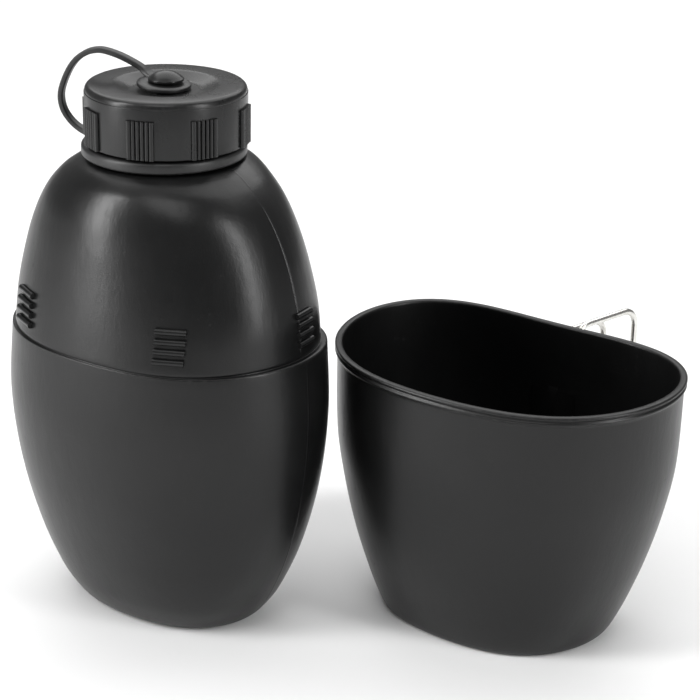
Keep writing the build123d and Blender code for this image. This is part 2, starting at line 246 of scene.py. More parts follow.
# ---- geometry node trees -----------------------------------------------------------------------
class Former(Nodes):
    """A Geometry Nodes tree with named sizes, which ends in Realize Instances and Set Material."""

    def __init__(self, name, **sizes):
        super().__init__(bpy.data.node_groups.new(name, "GeometryNodeTree"))
        sockets = self.tree.interface
        sockets.new_socket("Geometry", in_out="INPUT", socket_type="NodeSocketGeometry")
        sockets.new_socket("Geometry", in_out="OUTPUT", socket_type="NodeSocketGeometry")
        self.sizes = {}
        self.keys = {}
        for label, size in sizes.items():
            kind = "NodeSocketInt" if isinstance(size, int) else "NodeSocketFloat"
            self.keys[label] = sockets.new_socket(label, in_out="INPUT", socket_type=kind).identifier
            self.sizes[label] = size
        self.start = self.node("NodeGroupInput", output="Geometry")

    def size(self, label):
        return self.start.out(label)

    def vector(self, x, y, z):
        return self.node("ShaderNodeCombineXYZ", None, {"X": x, "Y": y, "Z": z})

    def marked(self, name, kind):
        """What each point of the base carries under a name."""
        return self.node("GeometryNodeInputNamedAttribute", {"data_type": kind}, {"Name": name})

    def end(self, geometry, material):
        whole = self.node("GeometryNodeRealizeInstances", None, {"Geometry": geometry})
        smooth = self.node("GeometryNodeSetShadeSmooth", None, {"Geometry": whole})
        painted = self.node("GeometryNodeSetMaterial", None, {"Geometry": smooth, "Material": material})
        finish = self.tree.nodes.new("NodeGroupOutput")
        self.tree.links.new(painted.socket, finish.inputs["Geometry"])

    def formed(self, name, base):
        """The tree's result on a base object, as a plain mesh object of its own."""
        modifier = base.modifiers.new("former", "NODES")
        modifier.node_group = self.tree
        for label, key in self.keys.items():
            modifier[key] = self.sizes[label]
        depsgraph = bpy.context.evaluated_depsgraph_get()
        mesh = bpy.data.meshes.new_from_object(
            base.evaluated_get(depsgraph), preserve_all_data_layers=True, depsgraph=depsgraph)
        base.modifiers.clear()
        bpy.data.objects.remove(base)
        return placed(name, mesh)


def rod(former, length, radius):
    """Nodes of a straight rod along +X from the origin's middle, with rounded ends."""
    line = former.node("GeometryNodeCurvePrimitiveLine", None, {
        "Start": former.vector(length * -0.5, 0, 0), "End": former.vector(length * 0.5, 0, 0)})
    points = former.node("GeometryNodeResampleCurve", None, {"Curve": line, "Count": 13})
    along = former.node("GeometryNodeSplineParameter", output="Factor")
    # Points crowd towards the two ends, where the rod is rounded.
    eased = (1 - (along * pi).math("COSINE", along * pi)) * 0.5
    x = (eased - 0.5) * length
    eased_points = former.node("GeometryNodeSetPosition", None, {
        "Geometry": points, "Position": former.vector(x, 0, 0)})
    near_end = ((x.math("ABSOLUTE", x) - length * 0.5) / radius + 1).at_least(0)
    swell = (1 - near_end * near_end).at_least(0.004) ** 0.5
    swollen = former.node("GeometryNodeSetCurveRadius", None, {"Curve": eased_points, "Radius": swell})
    circle = former.node("GeometryNodeCurvePrimitiveCircle", {"mode": "RADIUS"}, {
        "Resolution": 12, "Radius": radius})
    return former.node("GeometryNodeCurveToMesh", None, {
        "Curve": swollen, "Profile Curve": circle, "Fill Caps": True})


# ---- mesh making -------------------------------------------------------------------------------
def placed(name, mesh, material=None):
    """A mesh object at the origin, in the scene."""
    mesh.name = name
    item = bpy.data.objects.new(name, mesh)
    scene.collection.objects.link(item)
    if material:
        mesh.materials.clear()
        mesh.materials.append(material)
    return item


def skin(name, rings, material, worn=None, closed=False):
    """A smooth skin through rings of points. Its two ends are closed to a point, or joined into a torus."""
    count = len(rings[0])
    points = [Vector(p) for ring in rings for p in ring]
    faces = []
    pairs = list(zip(range(len(rings)), range(1, len(rings))))
    if closed:
        pairs.append((len(rings) - 1, 0))
    for low, high in pairs:
        for i in range(count):
            j = (i + 1) % count
            faces.append((low * count + i, low * count + j, high * count + j, high * count + i))
    wear = list(np.repeat(worn if worn is not None else np.zeros(len(rings)), count))
    if not closed:
        for ring, turn in ((0, 1), (len(rings) - 1, -1)):
            pole = len(points)
            points.append(Vector(np.mean(rings[ring], axis=0)))
            wear.append(0.0)
            first = ring * count
            for i in range(count):
                edge = (first + (i + 1) % count, first + i)
                faces.append((pole,) + edge[::turn])
    mesh = bpy.data.meshes.new(name)
    mesh.from_pydata(points, [], faces)
    mesh.shade_smooth()
    mesh.attributes.new("worn", "FLOAT", "POINT").data.foreach_set("value", np.array(wear, np.float32))
    mesh.validate()
    return placed(name, mesh, material)


def filleted(corners, steps=5):
    """A 2-D line through corners given as (x, y) or (x, y, radius), with arcs at those that have a radius."""
    line = []
    for i, corner in enumerate(corners):
        here = Vector(corner[:2])
        if len(corner) == 2 or i in (0, len(corners) - 1):
            line.append(here)
            continue
        before = (Vector(corners[i - 1][:2]) - here).normalized()
        after = (Vector(corners[i + 1][:2]) - here).normalized()
        half = before.angle(after) / 2
        inset = corner[2] / np.tan(half)
        centre = here + (before + after).normalized() * corner[2] / sin(half)
        start, end = here + before * inset - centre, here + after * inset - centre
        turn = start.angle_signed(end)
        for k in range(steps + 1):
            line.append(centre + Matrix.Rotation(-turn * k / steps, 2) @ start)
    return [tuple(p) for p in line]


def turned(name, profile, material, centre=(0, 0, 0), steps=128, closed=False, worn=None, lean=None):
    """A piece turned about +Z from a profile of (radius, height), listed upwards along its outside."""
    angles = [tau * k / steps for k in range(steps)]
    rings = [[(r * cos(a), r * sin(a), z) for a in angles] for r, z in profile]
    item = skin(name, rings, material, worn, closed)
    item.data.transform((Matrix.Translation(centre) @ lean) if lean else Matrix.Translation(centre))
    return item


def joined(item, *others):
    """One object from several of the same finish."""
    with bpy.context.temp_override(active_object=item, selected_editable_objects=[item, *others]):
        bpy.ops.object.join()
    return item


# ---- the rounded-D section of bottle and mug -----------------------------------------------------
END_FLAT, BACK_FLAT, CORNER = 0.0386, 0.0818, 0.0972


def stations(table):
    """A table of (height, half width, front, back, flatness) in millimetres, as metres."""
    return [tuple(v * MM for v in row[:4]) + (row[4],) for row in table]


def slope(table, i, column):
    low, high = table[max(i - 1, 0)], table[min(i + 1, len(table) - 1)]
    return (high[column] - low[column]) / (high[0] - low[0])


def section_at(table, z):
    """The section at height z, on a smooth cubic through the stations."""
    i = max([k for k in range(len(table) - 1) if table[k][0] <= z], default=0)
    low, high = table[i], table[i + 1]
    step = high[0] - low[0]
    u = (z - low[0]) / step
    values = [z]
    for column in range(1, 5):
        start, end = slope(table, i, column) * step, slope(table, i + 1, column) * step
        rise = high[column] - low[column]
        cubic = start * u + (3 * rise - 2 * start - end) * u ** 2 + (start + end - 2 * rise) * u ** 3
        values.append(low[column] + cubic)
    return tuple(values)


def outline(section, angles):
    """Points of a section at angles in radians, 0 at the +X end and -90 degrees at the front."""
    _, half_width, front, back, flat = section
    depth = (front + back) / (2 * (1 - CORNER * flat))
    shift = (back - front) / 2 + depth * BACK_FLAT * flat
    x = half_width * (np.cos(angles) + END_FLAT * flat * np.cos(3 * angles)) / (1 + END_FLAT * flat)
    wave = np.sin(angles) + BACK_FLAT * flat * np.cos(2 * angles) + CORNER * flat * np.sin(3 * angles)
    return np.stack([x, depth * wave + shift], axis=1)


def outward(section, angles):
    """Unit vectors out of a section's outline, in its plane."""
    along = outline(section, angles + 0.001) - outline(section, angles - 0.001)
    along /= np.linalg.norm(along, axis=1)[:, None]
    return np.stack([along[:, 1], -along[:, 0]], axis=1)


def ring_of(section, angles, proud=0.0, height=None, centre=(0, 0)):
    """A ring of points round a section, moved outwards by a distance (one, or one for each angle)."""
    flat = outline(section, angles) + outward(section, angles) * np.reshape(proud, (-1, 1)) + np.array(centre)
    z = section[0] if height is None else height
    return np.column_stack([flat, np.full(len(angles), z)])


def shrunk(ring, share, z):
    """A ring drawn in towards its middle, at a height of its own."""
    middle = ring[:, :2].mean(axis=0)
    flat = middle + (ring[:, :2] - middle) * share
    return np.column_stack([flat, np.full(len(ring), z)])


def foot_rings(table, angles, edge, hollow, centre=(0, 0)):
    """Rings of a foot from the middle out: a shallow hollow, the ring it stands on, and the rounded edge."""
    rim = ring_of(section_at(table, 0.0), angles, -edge, 0.0, centre)
    shares = ((0.25, 1), (0.5, 1), (0.74, 1), (0.82, 0.9), (0.88, 0.45), (0.92, 0.1), (0.96, 0))
    rings = [shrunk(rim, share, hollow * lift) for share, lift in shares]
    for k in range(7):
        turn = pi / 2 * k / 6
        z = edge * (1 - cos(turn))
        rings.append(ring_of(section_at(table, z), angles, -edge * (1 - sin(turn)), z, centre))
    return rings


# ---- bottle --------------------------------------------------------------------------------------
BOTTLE_LOWER = stations([
    (0.0, 37.3, 25.2, 21.5, 0.7), (4.2, 41.7, 28.4, 24.5, 0.75), (12.6, 47.4, 33.0, 28.3, 0.8),
    (31.5, 55.1, 39.6, 33.4, 0.9), (57.7, 61.3, 45.8, 37.0, 1.0), (86.0, 64.1, 48.8, 38.8, 1.0),
    (113.4, 62.7, 47.6, 38.8, 1.0)])
BOTTLE_UPPER = stations([
    (113.4, 60.7, 47.2, 36.9, 1.0), (128.0, 59.8, 45.2, 38.0, 0.8), (144.0, 56.2, 42.7, 38.6, 0.55),
    (156.0, 51.8, 40.8, 38.8, 0.35), (166.0, 46.0, 38.7, 38.2, 0.2), (173.0, 39.6, 35.4, 36.4, 0.08),
    (177.0, 34.0, 31.4, 34.4, 0.03), (179.2, 29.5, 27.6, 31.4, 0.0)])
LEDGE_Z = BOTTLE_UPPER[0][0]
SHOULDER_Z = BOTTLE_UPPER[-1][0]
NECK = Vector((0, 1.9 * MM, 0))
NECK_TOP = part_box("bottle_body")[1].z
NECK_RADIUS = 26.0 * MM
NECK_WALL = 2.6 * MM
BOTTLE_WALL = 1.8 * MM
FOOT_EDGE = 2.4 * MM
FOOT_HOLLOW = 1.1 * MM
SEAM_PROUD = 0.22 * MM
SEAM_HALF = 0.45 * MM
THREAD_PITCH = 5.0 * MM
THREAD_TURNS = 1.5
NECK_THREAD_Z = 189.1 * MM
CAP_THREAD_Z = 186.6 * MM

# Columns all round, with extra ones beside the mould's parting line at each end.
seam_steps = np.radians([-1.1, -0.75, -0.5, -0.3, -0.12, 0.12, 0.3, 0.5, 0.75, 1.1])
around = np.linspace(0, tau, 240, endpoint=False)
bottle_angles = np.sort(np.concatenate([around, seam_steps % tau, pi + seam_steps]))


def seam(section, angles):
    """How far the parting line stands out at each angle of a section."""
    off_line = np.abs(outline(section, angles)[:, 1] - outline(section, np.array([0.0]))[0, 1])
    return SEAM_PROUD * np.clip(1 - off_line / SEAM_HALF, 0, 1) ** 0.7


def bottle_body():
    rings = foot_rings(BOTTLE_LOWER, bottle_angles, FOOT_EDGE, FOOT_HOLLOW)
    worn = [0.0] * 7 + [0.25, 0.4, 0.5, 0.35, 0.2, 0.1, 0.0]
    for z in np.linspace(FOOT_EDGE * 1.6, LEDGE_Z - 1.6 * MM, 46):
        section = section_at(BOTTLE_LOWER, z)
        rings.append(ring_of(section, bottle_angles, 0.5 * seam(section, bottle_angles)))
        worn.append(0.0)
    # The ledge: each ring lies between the lower half's brim and the upper half's foot.
    brim, foot = BOTTLE_LOWER[-1], BOTTLE_UPPER[0]
    ledge = (
        (0.0, -1.0, 0.15), (0.02, -0.6, 0.5), (0.10, -0.25, 0.9), (0.24, -0.06, 1.0), (0.45, 0.0, 0.5),
        (0.75, 0.0, 0.1), (1.0, -0.05, 0.0))
    for share, lift, rub in ledge:
        section = tuple(a + (b - a) * share for a, b in zip(brim, foot))
        rings.append(ring_of(section, bottle_angles, 0, LEDGE_Z + lift * MM))
        worn.append(rub)
    for lift, groove in ((0.0, -0.32), (0.25, -0.34), (0.6, -0.2), (1.0, -0.04), (1.5, 0.0)):
        section = section_at(BOTTLE_UPPER, LEDGE_Z + lift * MM)
        rings.append(ring_of(section, bottle_angles, groove * MM))
        worn.append(0.0)
    for z in np.linspace(LEDGE_Z + 3 * MM, SHOULDER_Z - 8 * MM, 34):
        section = section_at(BOTTLE_UPPER, z)
        rings.append(ring_of(section, bottle_angles, seam(section, bottle_angles)))
        worn.append(0.0)
    for z in np.linspace(SHOULDER_Z - 7 * MM, SHOULDER_Z, 12):
        section = section_at(BOTTLE_UPPER, z)
        rings.append(ring_of(section, bottle_angles, 0.7 * seam(section, bottle_angles)))
        worn.append(0.0)
    bore = NECK_RADIUS - NECK_WALL
    neck = filleted([
        (29.0 * MM, SHOULDER_Z + 0.05 * MM), (NECK_RADIUS, SHOULDER_Z + 0.1 * MM, 0.5 * MM),
        (NECK_RADIUS, NECK_TOP, 0.7 * MM), (bore, NECK_TOP, 0.7 * MM),
        (bore, SHOULDER_Z - BOTTLE_WALL, 1.2 * MM), (28.4 * MM, SHOULDER_Z - BOTTLE_WALL - 1.2 * MM)])
    for radius, z in neck:
        rings.append(ring_of((z, radius, radius - NECK.y, radius + NECK.y, 0.0), bottle_angles))
        worn.append(0.6 if z > NECK_TOP - 0.3 * MM else 0.0)
    inside = BOTTLE_LOWER[:-1] + BOTTLE_UPPER[1:]
    for z in np.linspace(SHOULDER_Z - 2.5 * BOTTLE_WALL, 5 * MM, 30):
        rings.append(ring_of(section_at(inside, z), bottle_angles, -BOTTLE_WALL))
        worn.append(0.0)
    floor = ring_of(section_at(inside, 3.2 * MM), bottle_angles, -2.6 * BOTTLE_WALL)
    for share in (1.0, 0.8, 0.5, 0.2):
        rings.append(shrunk(floor, share, FOOT_HOLLOW + BOTTLE_WALL))
        worn.append(0.0)
    return skin("bottle_body_moulded", rings, bottle_plastic, worn)


def points_object(name, points, outwards, stretch=None):
    """Loose points, each with the way out of its wall and its piece's share of the full length."""
    mesh = bpy.data.meshes.new(name)
    mesh.from_pydata([tuple(p) for p in points], [], [])
    mesh.attributes.new("outwards", "FLOAT_VECTOR", "POINT").data.foreach_set(
        "vector", np.array(outwards, np.float32).ravel())
    mesh.attributes.new("stretch", "FLOAT", "POINT").data.foreach_set(
        "value", np.array(stretch or [1.0] * len(points), np.float32))
    return placed(name, mesh)


BARS_Z = LEDGE_Z + 11.2 * MM
BAR_LENGTH = 11.4
BAR_PITCH = 3.6 * MM
BAR_ROWS = 4
# Each set's place round the section, in section degrees, and its bars' length in millimetres.
BAR_SETS = ((-127.6, 11.4), (-52.4, 11.4), (3.0, 9.2), (177.0, 9.2), (52.4, 11.4), (127.6, 11.4))


def grip_bars():
    """Six sets of four rounded bars round the bottle above the ledge."""
    former = Former("grip_bars", Length=BAR_LENGTH * MM, Radius=1.2 * MM, Proud=0.25 * MM)
    way_out = former.marked("outwards", "FLOAT_VECTOR")
    stretch = former.marked("stretch", "FLOAT")
    turn = former.node("FunctionNodeAlignRotationToVector", {"axis": "Y", "pivot_axis": "Z"}, {
        "Vector": way_out})
    step = former.node("ShaderNodeVectorMath", {"operation": "SCALE"}, {
        "Vector": way_out, "Scale": former.size("Proud")})
    moved = former.node("GeometryNodeSetPosition", None, {"Geometry": former.start, "Offset": step})
    bars = former.node("GeometryNodeInstanceOnPoints", None, {
        "Points": moved, "Instance": rod(former, former.size("Length"), former.size("Radius")),
        "Rotation": turn, "Scale": former.vector(stretch, 1, 1)})
    former.end(bars, bottle_plastic)
    points, outwards, stretches = [], [], []
    for place, length in BAR_SETS:
        angle = np.array([radians(place)])
        for row in range(BAR_ROWS):
            section = section_at(BOTTLE_UPPER, BARS_Z + (row - (BAR_ROWS - 1) / 2) * BAR_PITCH)
            points.append(ring_of(section, angle)[0])
            outwards.append((*outward(section, angle)[0], 0))
            stretches.append(length / BAR_LENGTH)
    return former.formed("bottle_grip_bars", points_object("bar_places", points, outwards, stretches))


def thread(name, radius, foot, turns, ridge, material):
    """A rounded screw thread that runs out to nothing at its two ends."""
    former = Former(name, Radius=radius, Pitch=THREAD_PITCH, Turns=turns, Ridge=ridge)
    rise = former.size("Pitch") * former.size("Turns")
    spiral = former.node("GeometryNodeCurveSpiral", None, {
        "Resolution": 96, "Rotations": former.size("Turns"), "Start Radius": former.size("Radius"),
        "End Radius": former.size("Radius"), "Height": rise})
    lifted = former.node("GeometryNodeSetPosition", None, {
        "Geometry": spiral, "Offset": former.vector(NECK.x, NECK.y, foot)})
    along = former.node("GeometryNodeSplineParameter", output="Factor")
    run_out = (along * 12).at_most(1) * ((1 - along) * 12).at_most(1)
    swollen = former.node("GeometryNodeSetCurveRadius", None, {
        "Curve": lifted, "Radius": run_out.at_least(0.03)})
    circle = former.node("GeometryNodeCurvePrimitiveCircle", {"mode": "RADIUS"}, {
        "Resolution": 14, "Radius": former.size("Ridge")})
    ridge_mesh = former.node("GeometryNodeCurveToMesh", None, {
        "Curve": swollen, "Profile Curve": circle, "Fill Caps": True})
    former.end(ridge_mesh, material)
    return former.formed(name, points_object(name + "_start", [(0, 0, 0)], [(0, 0, 1)]))


bottle = joined(
    bottle_body(), grip_bars(),
    thread("neck_thread", NECK_RADIUS, NECK_THREAD_Z, THREAD_TURNS, 1.25 * MM, bottle_plastic))
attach(bottle, "bottle")
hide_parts("bottle_body")

# ---- cap -----------------------------------------------------------------------------------------
cap_low, cap_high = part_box("cap_shell")
CAP_TOP = cap_high.z
SKIRT_Z = cap_low.z
CAP_RADIUS = 29.6 * MM
CAP_BORE = 27.7 * MM
CAP_ROOF = 3.2 * MM
DISH = 2.25 * MM
GRIPS_TOP = CAP_TOP - 6.6 * MM


def cap_body():
    roof = CAP_TOP - CAP_ROOF
    profile = filleted([
        (0.02 * MM, roof), (CAP_BORE, roof, 1.0 * MM), (CAP_BORE, SKIRT_Z, 0.4 * MM),
        (CAP_RADIUS, SKIRT_Z, 0.5 * MM), (CAP_RADIUS, CAP_TOP - 2.6 * MM, 0.2 * MM),
        (CAP_RADIUS - 0.25 * MM, CAP_TOP - 2.4 * MM, 0.1 * MM), (CAP_RADIUS - 0.25 * MM, CAP_TOP, 2.1 * MM),
        (19.2 * MM, CAP_TOP - 0.05 * MM, 5 * MM), (13.2 * MM, CAP_TOP - DISH, 5 * MM),
        (0.02 * MM, CAP_TOP - DISH)])
    worn = [0.35 if z > CAP_TOP - 2.2 * MM and r > 26 * MM else 0.0 for r, z in profile]
    return turned("cap_body_moulded", profile, cap_plastic, NECK, 192, worn=worn)


def cap_ridges():
    """Eight groups of six upright ridges round the skirt; the two outer ones of a group are the stoutest."""
    former = Former(
        "cap_ridges", Skirt=29.9 * MM, Foot=SKIRT_Z + 0.3 * MM, Top=GRIPS_TOP, Radius=0.72 * MM,
        Groups=8, Ridges=6, Step=radians(3.2), Start=radians(21.0))
    count = former.size("Groups") * former.size("Ridges")
    line = former.node("GeometryNodeMeshLine", None, {"Count": count, "Offset": (0, 0, 0)})
    index = former.node("GeometryNodeInputIndex")
    group = (index / former.size("Ridges")).math("FLOOR", index / former.size("Ridges"))
    within = index - group * former.size("Ridges") - (former.size("Ridges") - 1) * 0.5
    angle = former.size("Start") + group * tau / former.size("Groups") + within * former.size("Step")
    middle = (former.size("Foot") + former.size("Top")) * 0.5
    spot = former.vector(
        angle.math("COSINE", angle) * former.size("Skirt"),
        angle.math("SINE", angle) * former.size("Skirt") + NECK.y, middle)
    points = former.node("GeometryNodeSetPosition", None, {"Geometry": line, "Position": spot})
    outer = within.math("ABSOLUTE", within).step(2.0, 2.4)
    upright = rod(former, former.size("Top") - former.size("Foot"), former.size("Radius"))
    stood = former.node("GeometryNodeTransform", None, {
        "Geometry": upright, "Rotation": Euler((0, -pi / 2, 0))})
    girth = 1 + outer * 0.28
    ridges = former.node("GeometryNodeInstanceOnPoints", None, {
        "Points": points, "Instance": stood, "Rotation": former.vector(0, 0, angle),
        "Scale": former.vector(girth, girth, 1)})
    former.end(ridges, cap_plastic)
    return former.formed("cap_ridges", points_object("ridge_start", [(0, 0, 0)], [(0, 0, 1)]))


cap = joined(
    cap_body(), cap_ridges(),
    thread("cap_thread", CAP_BORE, CAP_THREAD_Z, THREAD_TURNS, 1.2 * MM, cap_plastic))
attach(cap, "cap")
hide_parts("cap_shell")

stud_low, stud_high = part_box("cap_stud")
STUD_RADIUS = 2.6 * MM
STUD_HEAD = 6.5 * MM
STUD_HEAD_Z = stud_high.z - 3.6 * MM
STUD_CROWN = 8.7 * MM    # radius of the dome's arc
dome = [
    (STUD_CROWN * sin(a), stud_high.z - STUD_CROWN * (1 - cos(a)))
    for a in np.linspace(0.78, 0.003, 14)]
stud = turned("cap_stud_domed", filleted([
    (0.02 * MM, stud_low.z), (STUD_RADIUS, stud_low.z), (STUD_RADIUS, STUD_HEAD_Z, 0.3 * MM),
    (STUD_HEAD, STUD_HEAD_Z, 0.25 * MM), (STUD_HEAD, STUD_HEAD_Z + 0.8 * MM, 0.3 * MM), dome[0]]) + dome[1:],
    cap_plastic, NECK, 72)
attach(stud, "cap")
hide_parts("cap_stud")

# ---- strap ---------------------------------------------------------------------------------------
ring_low, ring_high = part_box("strap_neck_ring")
RING_RADIUS = 30.2 * MM
RING_BORE = 27.3 * MM
RING_TAB = radians(-171.0)
ring_tab_way = Vector((cos(RING_TAB), sin(RING_TAB), 0))
ring_middle = NECK + ring_tab_way * 1.0 * MM
strap_ring = turned("strap_ring_moulded", filleted([
    (RING_BORE, (ring_low.z + ring_high.z) / 2), (RING_BORE, ring_low.z, 0.4 * MM),
    (RING_RADIUS, ring_low.z, 1.0 * MM), (RING_RADIUS, ring_high.z, 1.4 * MM),
    (RING_BORE, ring_high.z, 0.7 * MM), (RING_BORE, (ring_low.z + ring_high.z) / 2 + 0.2 * MM)]),
    rubber, ring_middle, 160, closed=True)
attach(strap_ring, "strap")
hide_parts("strap_neck_ring")

EYELET_TILT = radians(3.5)
EYELET_RADIUS = 9.85 * MM
EYELET_HALF = 0.9 * MM
EYELET_BORE = 3.9 * MM
EYELET_TAB = radians(165.0)
eyelet_low, eyelet_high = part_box("strap_eyelet")
eyelet_middle = NECK + Vector((-1.0 * MM, 0, (eyelet_low.z + eyelet_high.z) / 2))
eyelet = turned("strap_eyelet_moulded", filleted([
    (EYELET_BORE, 0), (EYELET_BORE, -EYELET_HALF, 0.3 * MM), (EYELET_RADIUS, -EYELET_HALF, 0.5 * MM),
    (EYELET_RADIUS, 0.5 * EYELET_HALF, 0.5 * MM), (8.6 * MM, EYELET_HALF, 1.0 * MM),
    (EYELET_BORE, EYELET_HALF, 0.3 * MM), (EYELET_BORE, 0.2 * MM)]),
    rubber, eyelet_middle, 96, closed=True, lean=Matrix.Rotation(EYELET_TILT, 4, "Y"))
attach(eyelet, "eyelet")
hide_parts("strap_eyelet")

BAND_WIDTH = 3.6 * MM
BAND_THICKNESS = 2.1 * MM
# The band stands in the upright plane through its tabs on the eyelet and the ring.
eyelet_edge = eyelet_middle.xy + Vector((cos(EYELET_TAB), sin(EYELET_TAB))) * EYELET_RADIUS
ring_edge = (ring_middle + ring_tab_way * RING_RADIUS).xy
band_out = (ring_edge - eyelet_edge).normalized().to_3d()
band_side = Vector((band_out.y, -band_out.x, 0))
# Its middle line, as (millimetres out from the eyelet's edge, millimetres above the ground).
BAND_ROUTE = (
    (-2.4, 206.3), (0.2, 207.4), (2.6, 209.4), (6.6, 211.4), (11.2, 213.2), (16.2, 214.4), (19.6, 214.4),
    (23.2, 213.3), (27.1, 210.6), (30.3, 206.4), (33.0, 200.4), (33.9, 195.9), (33.1, 191.4),
    (30.7, 187.6), (27.2, 184.6), (22.6, 182.7))


def rounded(corners, steps=6):
    """A smooth line through 2-D corners (a Catmull-Rom curve)."""
    nodes = [np.array(c) for c in (corners[0], *corners, corners[-1])]
    line = []
    for a, b, c, d in zip(nodes, nodes[1:], nodes[2:], nodes[3:]):
        for u in np.arange(steps) / steps:
            bend = (2 * a - 5 * b + 4 * c - d) * u + (3 * b - a - 3 * c + d) * u * u
            line.append(b + (c - a + bend) * u / 2)
    return line + [nodes[-1]]


def strap_band():
    """A soft flat band with rounded edges, flared like a spoon's handle where it leaves the eyelet."""
    line = [point * MM for point in rounded(BAND_ROUTE)]
    corner = filleted([
        (0, -1), (1, -1, 0.45), (1, 1, 0.45), (-1, 1, 0.45), (-1, -1, 0.45), (0, -1)], 4)[:-1]
    rings = []
    for i, (out, up) in enumerate(line):
        way = (line[min(i + 1, len(line) - 1)] - line[max(i - 1, 0)])
        way /= np.linalg.norm(way)
        share = i / (len(line) - 1)
        flare = max(0, 1 - share / 0.16) ** 2 * 1.3 + max(0, 1 - (1 - share) / 0.1) ** 2 * 0.7
        middle = eyelet_edge.to_3d() + band_out * out + Vector((0, 0, up))
        normal = band_out * -way[1] + Vector((0, 0, way[0]))
        half_width = BAND_WIDTH / 2 * (1 + flare)
        half_thick = BAND_THICKNESS / 2 * (1 - 0.3 * max(0, 1 - share / 0.16) ** 2)
        rings.append([middle + band_side * a * half_width + normal * b * half_thick for a, b in corner])
    return skin("strap_band_moulded", rings, rubber)


band = strap_band()
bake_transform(band)
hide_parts("strap_band")

# ---- mug -----------------------------------------------------------------------------------------
MUG = Vector((108.8 * MM, 67.2 * MM, 0))
MUG_SECTIONS = stations([
    (0.0, 45.5, 35.5, 28.6, 1.0), (4.0, 47.9, 37.4, 30.1, 1.0), (14.0, 52.2, 40.6, 32.8, 1.0),
    (32.0, 58.4, 45.2, 36.2, 1.0), (52.0, 63.5, 48.8, 39.2, 1.0), (72.0, 66.8, 51.0, 40.8, 1.0),
    (106.4, 67.7, 51.1, 40.4, 1.0)])
MUG_WALL = 2.0 * MM
MUG_FLOOR = 2.2 * MM
mug_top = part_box("mug_body")[1].z
# The lip's two beads, as (millimetres below the top, how proud of the wall, how rubbed).
LIP = (
    (4.1, 0.0, 0), (3.6, 0.22, 0), (3.2, 0.65, 0.3), (2.85, 0.86, 0.5), (2.45, 0.84, 0.5), (2.1, 0.5, 0.1),
    (1.85, 0.28, 0), (1.55, 0.32, 0), (1.3, 0.62, 0.2), (0.95, 0.88, 0.5), (0.5, 0.84, 0.8),
    (0.2, 0.6, 1), (0.03, 0.2, 1), (0.0, -0.5, 0.8), (0.02, -1.2, 0.8), (0.2, -1.7, 1),
    (0.6, -1.95, 0.6), (1.2, -2.0, 0.1))


def mug_body():
    angles = np.linspace(0, tau, 288, endpoint=False)
    centre = MUG[:2]
    rings = foot_rings(MUG_SECTIONS, angles, 1.9 * MM, 0.9 * MM, centre)
    worn = [0.0] * 7 + [0.3, 0.6, 0.8, 0.6, 0.3, 0.1, 0.0]
    for z in np.linspace(3.4 * MM, mug_top - 5 * MM, 44):
        rings.append(ring_of(section_at(MUG_SECTIONS, z), angles, centre=centre))
        worn.append(0.0)
    for below, proud, rub in LIP:
        section = section_at(MUG_SECTIONS, mug_top - below * MM)
        rings.append(ring_of(section, angles, proud * MM, centre=centre))
        worn.append(rub)
    for z in np.linspace(mug_top - 3 * MM, MUG_FLOOR + 4.2 * MM, 40):
        rings.append(ring_of(section_at(MUG_SECTIONS, z), angles, -MUG_WALL, centre=centre))
        worn.append(0.0)
    corner = 3.4 * MM
    for k in range(1, 7):
        turn = pi / 2 * k / 6
        z = MUG_FLOOR + corner * (1 - sin(turn))
        inset = -MUG_WALL - corner * (1 - cos(turn))
        rings.append(ring_of(section_at(MUG_SECTIONS, z), angles, inset, centre=centre))
        worn.append(0.0)
    inside_floor = shrunk(rings[-1], 0.9, MUG_FLOOR)
    rings.append(inside_floor)
    rings += [shrunk(inside_floor, share, MUG_FLOOR) for share in (0.7, 0.45, 0.2)]
    worn += [0.0] * 4
    return skin("mug_body_moulded", rings, mug_plastic, worn)


PAD_OUT = 41.8 * MM
PAD_HALF_WIDTH = 10.0 * MM
HANDLE_Z = 74.0 * MM
PAD_HALF_TALL = 27.7 * MM


def wall_back(x, z):
    """Depth of the wall's outside at the back, beside the mug's middle at a height."""
    angles = np.radians(np.linspace(120, 60, 31))
    line = outline(section_at(MUG_SECTIONS, z), angles)
    return np.interp(x, line[:, 0], line[:, 1])


def handle_pad():
    """The flat pad that the handle's bracket is riveted to. Its root follows the wall."""
    corner = 3 * MM
    shape = filleted([
        (0, -PAD_HALF_TALL), (PAD_HALF_WIDTH, -PAD_HALF_TALL, corner),
        (PAD_HALF_WIDTH, PAD_HALF_TALL, corner), (-PAD_HALF_WIDTH, PAD_HALF_TALL, corner),
        (-PAD_HALF_WIDTH, -PAD_HALF_TALL, corner), (0, -PAD_HALF_TALL)], 6)[:-1]
    edge = 0.7 * MM
    steps = [
        (PAD_OUT - edge * (1 - sin(a)), edge * (1 - cos(a))) for a in np.linspace(0, pi / 2, 5)]
    rings = [[
        MUG + Vector((x, wall_back(x, HANDLE_Z + z) - 1.0 * MM, HANDLE_Z + z)) for x, z in reversed(shape)]]
    for depth, inset in steps:
        wide, tall = 1 - inset / PAD_HALF_WIDTH, 1 - inset / PAD_HALF_TALL
        rings.append([MUG + Vector((x * wide, depth, HANDLE_Z + z * tall)) for x, z in reversed(shape)])
    return skin("handle_pad", rings, mug_plastic)


mug = joined(mug_body(), handle_pad())
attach(mug, "mug")
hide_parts("mug_body")

# ---- folding wire handle -------------------------------------------------------------------------
WIRE_RADIUS = 1.3 * MM
HINGE_Y = 44.18 * MM
HANDLE_REACH = 34.1 * MM
NEAR_BEND = 6.5 * MM
FAR_BEND = 7.0 * MM
HINGE_X = 6.2 * MM
